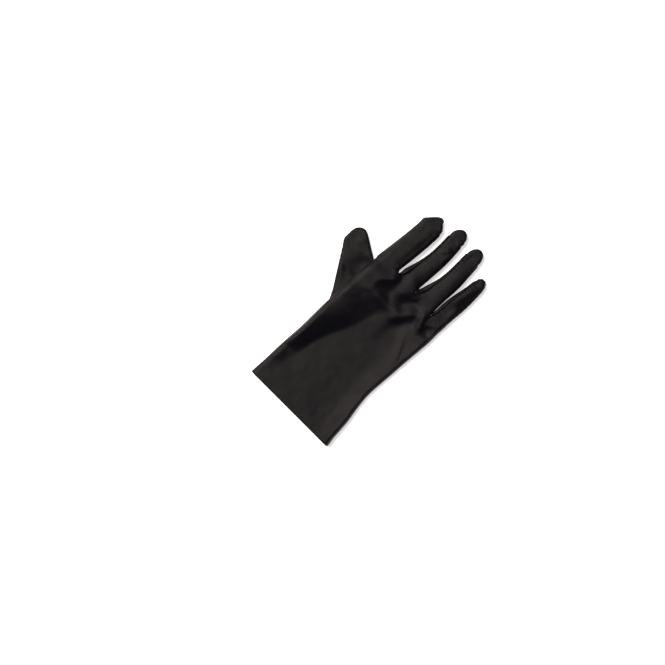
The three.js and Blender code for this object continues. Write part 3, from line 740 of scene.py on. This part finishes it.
def add_finger(f, numbers, base_plan):
    """Adds a finger on the points at its root. Beyond the gussets it is all shell, with a seam at each side."""
    finger = FINGERS[f]
    last_one = f == len(FINGERS) - 1
    middle = BACK_COLUMNS // 2
    side = 2 * SIDE_COLUMNS
    left_piece = SHELL if f == 0 else GUSSETS[f - 1]
    right_piece = SHELL if last_one else GUSSETS[f]
    lower_pieces = [SHELL] * BACK_COLUMNS + [right_piece] * side + [SHELL] * PALM_COLUMNS + [left_piece] * side
    tip_pieces = [SHELL] * len(lower_pieces)
    right_edge = BACK_COLUMNS + SIDE_COLUMNS
    left_edge = right_edge + side + PALM_COLUMNS
    ring = number_ring(numbers, np.array([skin["points"][n] for n in numbers]), middle)
    done = 0
    for plan, section in finger_plans(f, base_plan):
        upper = ring_from(plan, middle)
        in_tip = done >= finger["gusset_to"]
        seams = ([right_edge] if last_one or in_tip else []) + ([left_edge] if in_tip else [])
        join_rings(ring, upper, tip_pieces if in_tip else lower_pieces, seams=seams)
        ring, done = upper, section
    x, y = (np.array([value]) for value in finger["tip"])
    place = (*finger["tip"], float(edge_height(x, y, plan["crown"])[0]))
    close_ring(ring, place, tip_pieces, seams=[right_edge, left_edge])


def build_hand():
    columns = BACK_COLUMNS * len(FINGERS)
    side = 2 * SIDE_COLUMNS
    plans = [hand_ring_plan(y) for y in HAND_LEVELS]
    knuckles = plans[-1]
    for c, crotch in enumerate(CROTCHES):
        knuckles["palm"][PALM_COLUMNS * (c + 1)] = (crotch["palmX"], crotch["palmY"], -1)
    rings = [ring_from(plan, columns // 2) for plan in plans]
    for lower, upper in zip(rings, rings[1:]):
        join_rings(lower, upper, [SHELL] * len(lower["numbers"]), seams=[columns + SIDE_COLUMNS])

    last = rings[-1]["numbers"]
    palm_end = columns + side + PALM_COLUMNS * len(FINGERS)
    back, right = last[:columns + 1], last[columns + 1:columns + side]
    palm, left = last[columns + side:palm_end + 1][::-1], last[palm_end + 1:][::-1]
    beside = [(knuckles["left"], left)]
    for crotch in CROTCHES:
        plan = crotch_plan(crotch)
        beside.append((plan, add_points(skin_places(plan, HAND[-1]["crown"]))))
    beside.append((knuckles["right"], right))
    for f in range(len(FINGERS)):
        on_back = slice(BACK_COLUMNS * f, BACK_COLUMNS * (f + 1) + 1)
        on_palm = slice(PALM_COLUMNS * f, PALM_COLUMNS * (f + 1) + 1)
        (left_plan, at_left), (right_plan, at_right) = beside[f:f + 2]
        base_plan = {"back": knuckles["back"][on_back], "palm": knuckles["palm"][on_palm],
                     "left": left_plan, "right": right_plan, "crown": knuckles["crown"]}
        add_finger(f, back[on_back] + at_right + palm[on_palm][::-1] + at_left[::-1], base_plan)
    return rings


def build_thumb():
    """The thumb is a flat bag of the same cloth, sewn along its outer side and across its tip."""
    rows = closer_rows(THUMB, ROW_STEP)
    outline = polyline(thumb_edge(rows), closed=True)
    middle = THUMB_HEIGHT / 2

    def places_of(spots, height):
        x, y, side = (np.array(values, float) for values in zip(*spots))
        near, _ = distance_to(outline, x, y)
        rounded = round_off(near, THUMB_ROUND)
        level = middle + side * height * THUMB_PRESSED / 2 * rounded
        hand_x, hand_y = thumb_to_hand(x, y)
        folds = np.where(side > 0, rounded * fold_rise(THUMB_FOLDS, hand_x, hand_y), 0)
        return np.column_stack([hand_x, hand_y, level + folds])

    def spots_of(row, shrink=1.0, towards=(0, 0)):
        width, spot = section_line(row)
        reach = min(THUMB_ROUND, width / THUMB_ROUND_PARTS)
        steps = side_steps(reach, reach)
        face = list(np.linspace(steps[0], width - steps[0], THUMB_COLUMNS + 1))
        down = [(d, 1) for d in steps[1:-1]] + [(0, 0)] + [(d, -1) for d in steps[-2:0:-1]]
        run = ([(d, 1) for d in face] + [(width - d, side) for d, side in down]
               + [(d, -1) for d in face[::-1]] + [(d, -side) for d, side in down])
        return [(*between(towards, spot(d), shrink), side) for d, side in run]

    half = THUMB_COLUMNS // 2
    shares = [k / TIP_ROWS for k in range(1, TIP_ROWS)]
    loops = [(spots_of(rows[0], share, THUMB_BASE_END), rows[0]["height"]) for share in shares]
    loops += [(spots_of(row), row["height"]) for row in rows]
    loops += [(spots_of(rows[-1], share, THUMB_TIP), rows[-1]["height"]) for share in reversed(shares)]
    rings = [add_ring(places_of(spots, height), half) for spots, height in loops]
    count = len(rings[0]["numbers"])
    edge = count - SIDE_COLUMNS
    pieces = [THUMB_CLOTH] * count
    close_ring(rings[0], (*thumb_to_hand(*THUMB_BASE_END), middle), pieces, seams=[edge], turned=True)
    for lower, upper in zip(rings, rings[1:]):
        join_rings(lower, upper, pieces, seams=[edge])
    close_ring(rings[-1], (*thumb_to_hand(*THUMB_TIP), middle), pieces, seams=[edge])


def hem_rings(rings, places):
    """The cloth turned in at the cuff: from the hem's stitches on the inside, down to the fold at the cuff."""
    made = []
    for ring, level in zip(rings, HEM_LEVELS):
        outer = places[ring["numbers"]]
        run = np.roll(outer, -1, 0) - np.roll(outer, 1, 0)
        inward = np.column_stack([run[:, 2], np.zeros(len(run)), -run[:, 0]])
        inward /= np.linalg.norm(inward, axis=1)[:, None]
        made.append({"places": outer + inward * HEM_INNER, "across": ring["across"],
                     "along": np.full(len(run), -level)})
        if level == 0:
            fold = outer + inward * HEM_INNER / 2
            fold[:, 1] -= HEM_BULGE
            apex = {"places": fold, "across": ring["across"], "along": np.full(len(run), -HEM_BULGE)}
    return made[::-1] + [apex]


def add_hem(rings, places):
    """Adds the hem's inner layer to the settled skin."""
    skin["points"] = list(places)
    numbered = []
    for ring in hem_rings(rings, places):
        numbered.append(dict(ring, numbers=add_points(ring["places"])))
    numbered.append(rings[0])
    seam = BACK_COLUMNS * len(FINGERS) + SIDE_COLUMNS
    for lower, upper in zip(numbered, numbered[1:]):
        join_rings(lower, upper, [SHELL] * len(lower["numbers"]), seams=[seam])


def add_object(name, data):
    made = bpy.data.objects.new(name, data)
    bpy.context.collection.objects.link(made)
    return made


def read_all(items, name, width):
    values = np.empty((len(items), width))
    items.foreach_get(name, values.ravel())
    return values


def settle(places):
    """Lets the sewn skin buckle a little, as cloth does that is slightly larger than its form. It keeps its volume."""
    data = bpy.data.meshes.new("settling_skin")
    data.from_pydata([tuple(place) for place in places * SETTLE_SCALE], [],
                     [corners for _, corners, _ in skin["faces"]])
    skin_object = add_object("settling_skin", data)
    near, _ = distance_to(OUTLINE, places[:, 0], places[:, 1])
    on_back = places[:, 2] > edge_height(places[:, 0], places[:, 1], SETTLE_CROWN)
    held = np.where(on_back, mix(SETTLE_FIRM_PIN, SETTLE_PIN, ease(near / SETTLE_EDGE)), SETTLE_FIRM_PIN)
    held = np.where(places[:, 1] < HEM_DEPTH, 1.0, held)
    pins = skin_object.vertex_groups.new(name="pins")
    for number, pin in enumerate(held):
        pins.add([number], float(pin), "REPLACE")
    modifier = skin_object.modifiers.new("Settling", "CLOTH")
    for name, value in CLOTH_SETTINGS.items():
        setattr(modifier.settings, name, value)
    modifier.settings.effector_weights.gravity = 0
    modifier.collision_settings.use_collision = False
    modifier.point_cache.frame_start = 1
    modifier.point_cache.frame_end = SETTLE_FRAMES
    for step in range(1, SETTLE_FRAMES + 1):
        bpy.context.scene.frame_set(step)
    result = skin_object.evaluated_get(bpy.context.evaluated_depsgraph_get()).to_mesh()
    move = read_all(result.vertices, "co", 3) / SETTLE_SCALE - places
    bpy.data.objects.remove(skin_object)
    bpy.data.meshes.remove(data)
    bpy.context.scene.frame_set(1)

    pairs = np.array([(corners[k - 1], corners[k]) for _, corners, _ in skin["faces"] for k in range(len(corners))])
    linked = np.bincount(pairs[:, 0], minlength=len(places)) + np.bincount(pairs[:, 1], minlength=len(places))
    for _ in range(SETTLE_PASSES):
        around = np.zeros_like(move)
        np.add.at(around, pairs[:, 0], move[pairs[:, 1]])
        np.add.at(around, pairs[:, 1], move[pairs[:, 0]])
        move = mix(move, around / linked[:, None], 0.5)
    length = np.linalg.norm(move, axis=1)
    most = np.where(on_back, SETTLE_MOST, SETTLE_MOST_BELOW)
    move *= (SETTLE_KEPT * most * np.tanh(length / most) / np.maximum(length, TINY))[:, None]
    made = places + move
    made[:, 2] = np.maximum(made[:, 2], 0)
    return made


rings_of_hand = build_hand()
build_thumb()
settled = np.array(skin["points"])
settled = settle(settled)
add_hem(rings_of_hand, settled)


# Sewn pieces: the skin is opened along its seams, and each piece's edges turn in there

def sewn_skin():
    """The whole skin as one mesh, with each face's piece, and the seam edges and outward ways marked."""
    mesh = bmesh.new()
    fabric = mesh.loops.layers.uv.new("Fabric")
    piece_of = mesh.faces.layers.int.new("piece")
    on_seam = mesh.verts.layers.int.new("on_seam")
    outward = mesh.verts.layers.float_vector.new("outward")
    points = [mesh.verts.new(place) for place in skin["points"]]
    for name, corners, spots in skin["faces"]:
        face = mesh.faces.new([points[n] for n in corners])
        face[piece_of] = PIECES.index(name)
        face.smooth = True
        for loop, spot in zip(face.loops, spots):
            loop[fabric].uv = spot
    mesh.normal_update()
    mesh.verts.index_update()
    for point in mesh.verts:
        point[outward] = point.normal
    seams = []
    for edge in mesh.edges:
        meeting = len({face[piece_of] for face in edge.link_faces}) > 1
        if meeting or frozenset(point.index for point in edge.verts) in skin["seams"]:
            seams.append(edge)
            for point in edge.verts:
                point[on_seam] = max(point[on_seam], MEETING if meeting else CLOSED)
    cut_thumb_hole(mesh, on_seam)
    bmesh.ops.split_edges(mesh, edges=[edge for edge in seams if edge.is_valid])
    return mesh, piece_of, on_seam, outward


def cut_thumb_hole(mesh, on_seam):
    """The oval opening between the palm and the thumb, cut through the lower cloth and the thumb's upper side."""
    hole = THUMB_HOLE
    turn = Matrix.Rotation(-hole["turn"], 2)

    def in_oval(place):
        flat = turn @ Vector((place.x - hole["x"], place.y - hole["y"]))
        return Vector((flat.x / hole["across"], flat.y / hole["along"]))

    cut = [face for face in mesh.faces if hole["low"] < face.calc_center_median().z < hole["high"]
           and in_oval(face.calc_center_median()).length < 1]
    rim = {point for face in cut for point in face.verts}
    bmesh.ops.delete(mesh, geom=cut, context="FACES")
    for point in rim:
        if point.is_valid:
            spot = in_oval(point.co)
            flat = Vector((spot.x * hole["across"], spot.y * hole["along"])) / spot.length
            flat = turn.inverted() @ flat
            point.co.x, point.co.y = hole["x"] + flat.x, hole["y"] + flat.y
            point[on_seam] = MEETING


def turn_edges_in(mesh, on_seam, outward):
    """Along each seam the cloth bends down into it, and stops half a gap short of its neighbour."""
    moves = []
    for point in mesh.verts:
        if point[on_seam] and point.is_boundary:
            out = point[outward]
            into = sum((face.calc_center_median() - point.co for face in point.link_faces), Vector())
            into -= out * into.dot(out)
            moves.append((point, into.normalized() * SEAM_GAP[point[on_seam]] / 2 - out * SEAM_SINK))
    for point, move in moves:
        point.co += move


def lay_seam_map(mesh, on_seam):
    """A second map: how far along the nearest seam each corner is, and how far from it, in millimetres."""
    seam_map = mesh.loops.layers.uv.new("Seam")
    mesh.verts.ensure_lookup_table()
    mesh.verts.index_update()
    along = {}
    links = {}
    for edge in mesh.edges:
        if edge.is_boundary and all(point[on_seam] for point in edge.verts):
            a, b = (point.index for point in edge.verts)
            links.setdefault(a, []).append(b)
            links.setdefault(b, []).append(a)
    for start in sorted(links, key=lambda n: (len(links[n]) != 1, n)):
        if start in along:
            continue
        along[start], here = 0.0, start
        while ahead := [n for n in links[here] if n not in along]:
            along[ahead[0]] = along[here] + (mesh.verts[ahead[0]].co - mesh.verts[here].co).length
            here = ahead[0]
    tree = kdtree.KDTree(len(along))
    for number in along:
        tree.insert(mesh.verts[number].co, number)
    tree.balance()
    for face in mesh.faces:
        for loop in face.loops:
            _, number, distance = tree.find(loop.vert.co)
            loop[seam_map].uv = (along[number], distance)


def make_pieces():
    mesh, piece_of, on_seam, outward = sewn_skin()
    turn_edges_in(mesh, on_seam, outward)
    made = {}
    for number, name in enumerate(PIECES):
        part = mesh.copy()
        others = [face for face in part.faces if face[part.faces.layers.int["piece"]] != number]
        bmesh.ops.delete(part, geom=others, context="FACES")
        lay_seam_map(part, part.verts.layers.int["on_seam"])
        for point in part.verts:
            point.co = Vector((point.co.x + HAND_AT[0], point.co.y + HAND_AT[1], point.co.z)) * MM
        data = bpy.data.meshes.new(name)
        part.to_mesh(data)
        part.free()
        made[name] = add_object(name, data)
    mesh.free()
    return made


def apply_modifier(piece, kind, **settings):
    for other in bpy.context.selected_objects:
        other.select_set(False)
    bpy.context.view_layer.objects.active = piece
    piece.select_set(True)
    modifier = piece.modifiers.new(kind.title(), kind)
    for name, value in settings.items():
        setattr(modifier, name, value)
    bpy.ops.object.modifier_apply(modifier=modifier.name)


def pucker(piece):
    """Draws the cloth into short ridges across its seams, strongest a millimetre or two from the thread."""
    data = piece.data
    corners = np.empty(len(data.loops), int)
    data.loops.foreach_get("vertex_index", corners)
    seam = np.zeros((len(data.vertices), 2))
    seam[corners] = read_all(data.uv_layers["Seam"].data, "uv", 2)
    along, away = seam.T
    phase = along + PUCKER_SWAY * np.sin(along / PUCKER_SWAY_PITCH)
    reach = away / PUCKER_REACH
    height = PUCKER_HEIGHT * np.sin(2 * np.pi * phase / PUCKER_PITCH) * reach * np.exp(1 - reach)
    height *= PUCKER_EVEN + (1 - PUCKER_EVEN) * np.sin(along / PUCKER_PATCH)
    normals = read_all(data.vertices, "normal", 3)
    places = read_all(data.vertices, "co", 3) + normals * height[:, None] * MM
    data.vertices.foreach_set("co", places.ravel())
    data.update()


def finish_cloth(piece):
    """Smooths a piece to millimetre facets and gives it its thickness, inwards from the outer surface."""
    apply_modifier(piece, "SUBSURF", levels=1, render_levels=1, boundary_smooth="PRESERVE_CORNERS")
    pucker(piece)
    apply_modifier(piece, "SOLIDIFY", thickness=CLOTH_THICK * MM, offset=-1, use_even_offset=False)
    for layer in ("on_seam", "outward", "piece"):
        if layer in piece.data.attributes:
            piece.data.attributes.remove(piece.data.attributes[layer])


pieces = make_pieces()
for piece in pieces.values():
    finish_cloth(piece)


# Materials

def from_hex(code):
    """An sRGB hex colour as the linear numbers that the shader takes."""
    values = [int(code[k:k + 2], 16) / 255 for k in (1, 3, 5)]
    return tuple(v / 12.92 if v <= 0.04045 else ((v + 0.055) / 1.055) ** 2.4 for v in values) + (1.0,)


def add_node(tree, kind, inputs=None, **settings):
    node = tree.nodes.new(kind)
    for name, value in settings.items():
        setattr(node, name, value)
    for name, value in (inputs or {}).items():
        if isinstance(value, bpy.types.NodeSocket):
            tree.links.new(value, node.inputs[name])
        else:
            node.inputs[name].default_value = value
    return node


def maths(tree, operation, *values):
    return add_node(tree, "ShaderNodeMath", dict(enumerate(values)), operation=operation).outputs[0]


def wave(tree, value, pitch):
    """-1 to 1 and back over each pitch."""
    return maths(tree, "SINE", maths(tree, "MULTIPLY", value, 2 * math.pi / pitch))


def bump(tree, height, distance, below=None):
    inputs = {"Height": height, "Distance": distance * MM}
    if below is not None:
        inputs["Normal"] = below
    return add_node(tree, "ShaderNodeBump", inputs).outputs["Normal"]


def noise(tree, vector, size, detail=2.0):
    """Soft cloudy noise whose lumps are about size millimetres across."""
    return add_node(tree, "ShaderNodeTexNoise",
                    {"Vector": vector, "Scale": 1 / size, "Detail": detail}).outputs["Fac"]


def blend(tree, share, a, b):
    node = add_node(tree, "ShaderNodeMix", {"Factor": share, "A": a, "B": b}, data_type="RGBA")
    return node.outputs["Result"]


def line_at(tree, value, place, sharpness):
    """1 where a value is at a place, falling away to 0 on both sides."""
    away = maths(tree, "SUBTRACT", value, place)
    return maths(tree, "EXPONENT", maths(tree, "MULTIPLY", maths(tree, "MULTIPLY", away, away), -sharpness))


def new_material(name, inputs):
    material = bpy.data.materials.new(name)
    material.use_nodes = True
    shader = material.node_tree.nodes["Principled BSDF"]
    for socket, value in inputs.items():
        shader.inputs[socket].default_value = value
    return material, shader


def stretch_tricot():
    """Near-black nylon and elastane tricot with a satin face: fine ribs run along the hand, and the cloth crinkles
    beside its seams."""
    material, shader = new_material("black_stretch_tricot", {"Specular IOR Level": SPECULAR})
    tree = material.node_tree
    fabric = add_node(tree, "ShaderNodeUVMap", uv_map="Fabric").outputs["UV"]
    seam = add_node(tree, "ShaderNodeUVMap", uv_map="Seam").outputs["UV"]
    across, along, _ = add_node(tree, "ShaderNodeSeparateXYZ", {0: fabric}).outputs
    seam_along, seam_away, _ = add_node(tree, "ShaderNodeSeparateXYZ", {0: seam}).outputs

    clouds = noise(tree, fabric, CLOUD_SIZE, detail=3.0)
    colour = blend(tree, clouds, from_hex(CLOTH_DARK), from_hex(CLOTH_LIGHT))
    from_seam = maths(tree, "MINIMUM", 1.0, maths(tree, "DIVIDE", seam_away, SEAM_DARK_WIDTH))
    near_seam = maths(tree, "SUBTRACT", 1.0, from_seam)
    kept = maths(tree, "SUBTRACT", 1.0, maths(tree, "MULTIPLY", near_seam, SEAM_DARK_SHARE))
    tree.links.new(blend(tree, kept, from_hex(SEAM_DARK), colour), shader.inputs["Base Color"])

    # Ribs a third of a millimetre apart, each a chain of stitches
    sway = maths(tree, "MULTIPLY", wave(tree, along, RIB_SWAY_PITCH), RIB_SWAY)
    ribs = maths(tree, "ABSOLUTE", wave(tree, maths(tree, "ADD", across, sway), RIB_PITCH))
    stitches = maths(tree, "ABSOLUTE", wave(tree, along, STITCH_PITCH))
    knit = maths(tree, "ADD", ribs, maths(tree, "MULTIPLY", stitches, STITCH_SHARE))

    # Fine crinkles across the seams, fading out two millimetres away, and the line where the seam's edges end inside
    shift = maths(tree, "MULTIPLY", noise(tree, seam, CRINKLE_PATCH), CRINKLE_SHIFT)
    fade = maths(tree, "EXPONENT", maths(tree, "MULTIPLY", seam_away, -CRINKLE_FADE))
    crinkles = maths(tree, "MULTIPLY", wave(tree, maths(tree, "ADD", seam_along, shift), CRINKLE_PITCH), fade)
    seam_edge = line_at(tree, seam_away, SEAM_EDGE_AT, SEAM_EDGE_SHARP)

    # The hem's row of stitches, in short runs
    runs = maths(tree, "MULTIPLY_ADD", wave(tree, across, HEM_STITCH_PITCH), HEM_STITCH_SHARE, 1 - HEM_STITCH_SHARE)
    hem_stitches = maths(tree, "MULTIPLY", line_at(tree, along, HEM_DEPTH, HEM_ROW_SHARP), runs)

    heights = {"waves": noise(tree, fabric, WAVE_SIZE, detail=1.5), "knit": knit,
               "fibres": noise(tree, fabric, FIBRE_SIZE, detail=4.0), "crinkles": crinkles,
               "seam edge": maths(tree, "SUBTRACT", 1.0, seam_edge),
               "hem stitches": maths(tree, "SUBTRACT", 1.0, hem_stitches)}
    normal = None
    for name, depth in DEPTHS.items():
        normal = bump(tree, heights[name], depth, normal)
    tree.links.new(normal, shader.inputs["Normal"])

    rough = add_node(tree, "ShaderNodeMapRange", {
        "Value": clouds, "From Min": CLOUD_RANGE[0], "From Max": CLOUD_RANGE[1],
        "To Min": ROUGHNESS[0], "To Max": ROUGHNESS[1]})
    tree.links.new(rough.outputs["Result"], shader.inputs["Roughness"])
    return material


tricot = stretch_tricot()
for piece in pieces.values():
    piece.data.materials.clear()
    piece.data.materials.append(tricot)
    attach(piece, "root")
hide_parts("hand_back", "hand_palm")
for name in GUSSETS:
    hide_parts(name.removesuffix("_cloth"))
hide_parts("thumb")


# Floor, light and camera

def make_floor():
    bpy.ops.mesh.primitive_plane_add(size=FLOOR_SIZE, location=(0, 0, FLOOR_DROP))
    floor = bpy.context.active_object
    floor.name = "pale_table_top"
    bpy.ops.object.transform_apply(location=True, rotation=True, scale=True)
    # The table top glows: its emission is painted light that washes out the glove's shadow on it.
    glowing_white_table, _ = new_material("pale_table", {
        "Base Color": from_hex(FLOOR_COLOUR), "Roughness": 0.9, "Specular IOR Level": 0.1,
        "Emission Color": from_hex(FLOOR_GLOW_COLOUR), "Emission Strength": FLOOR_GLOW})
    floor.data.materials.append(glowing_white_table)


def make_softbox(name, bearing, elevation, away, width, height, watts, colour):
    """A softbox that faces the glove. Bearing 0 is the little finger's side and 180 the index side."""
    turn, rise = math.radians(bearing), math.radians(elevation)
    place = (away * math.cos(rise) * math.cos(turn), away * math.cos(rise) * math.sin(turn), away * math.sin(rise))
    data = bpy.data.lights.new(name, "AREA")
    data.shape = "RECTANGLE"
    data.size = width
    data.size_y = height
    data.energy = watts
    data.color = from_hex(colour)[:3]
    light = add_object(name, data)
    light.location = place
    light.rotation_euler = (-Vector(place)).to_track_quat("-Z", "Y").to_euler()


def make_world():
    world = bpy.data.worlds.new("studio")
    world.use_nodes = True
    sky = world.node_tree.nodes["Background"]
    sky.inputs["Color"].default_value = from_hex(SKY_COLOUR)
    sky.inputs["Strength"].default_value = SKY_STRENGTH
    bpy.context.scene.world = world


def make_camera():
    data = bpy.data.cameras.new("camera")
    data.lens = LENS
    data.sensor_width = SENSOR
    camera = add_object("camera", data)
    height = FRAME_WIDTH * LENS / SENSOR
    camera.location = (LOOK_AT[0], LOOK_AT[1], LOOK_AT[2] + height)
    camera.rotation_euler = (0, 0, CAMERA_TURN)
    bpy.context.scene.camera = camera


make_floor()
make_softbox("key", **KEY_LIGHT)
make_world()
make_camera()
bpy.context.scene.view_settings.view_transform = "Standard"
